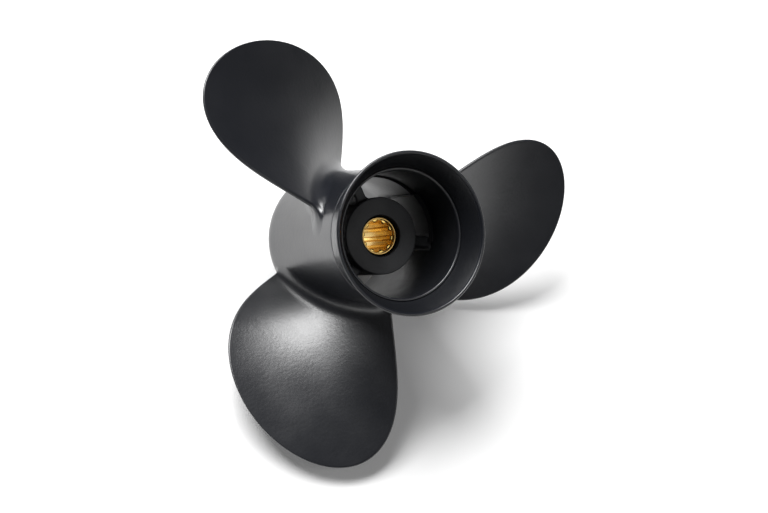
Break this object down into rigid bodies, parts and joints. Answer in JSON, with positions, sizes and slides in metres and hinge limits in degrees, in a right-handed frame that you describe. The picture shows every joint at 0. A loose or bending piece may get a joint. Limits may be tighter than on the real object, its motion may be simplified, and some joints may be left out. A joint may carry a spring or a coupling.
{
  "type": "boat propeller",
  "caption": "Black outboard propeller with wide rounded blades, a through-hub exhaust barrel with a flared diffuser ring, and a splined brass sleeve in a rubber bush.",
  "frame": {"origin": "centre of the barrel's front rim, on the shaft axis", "axes": "+Z along the shaft axis, pointing aft; the middle of the first blade's root lies over +Y"},
  "size_m": [0.227, 0.2207, 0.1074],
  "materials": {
    "black_paint": "die-cast aluminium, satin-gloss black paint",
    "rubber": "matte black moulded rubber",
    "brass": "machined brass"
  },
  "bodies": {
    "drive_bush": {"splined_sleeve": "brass", "rubber_bush": "rubber"},
    "propeller": {"barrel": "black_paint", "diffuser_ring": "black_paint", "inner_hub": "black_paint", "rib_1": "black_paint", "rib_2": "black_paint", "rib_3": "black_paint", "blade_1": "black_paint", "blade_2": "black_paint", "blade_3": "black_paint"}
  },
  "joints": [
    {"name": "bush_slip", "type": "hinge", "parent": "drive_bush", "child": "propeller", "pos_m": [0, 0, 0.038], "axis": [0, 0, 1], "continuous": true}
  ]
}
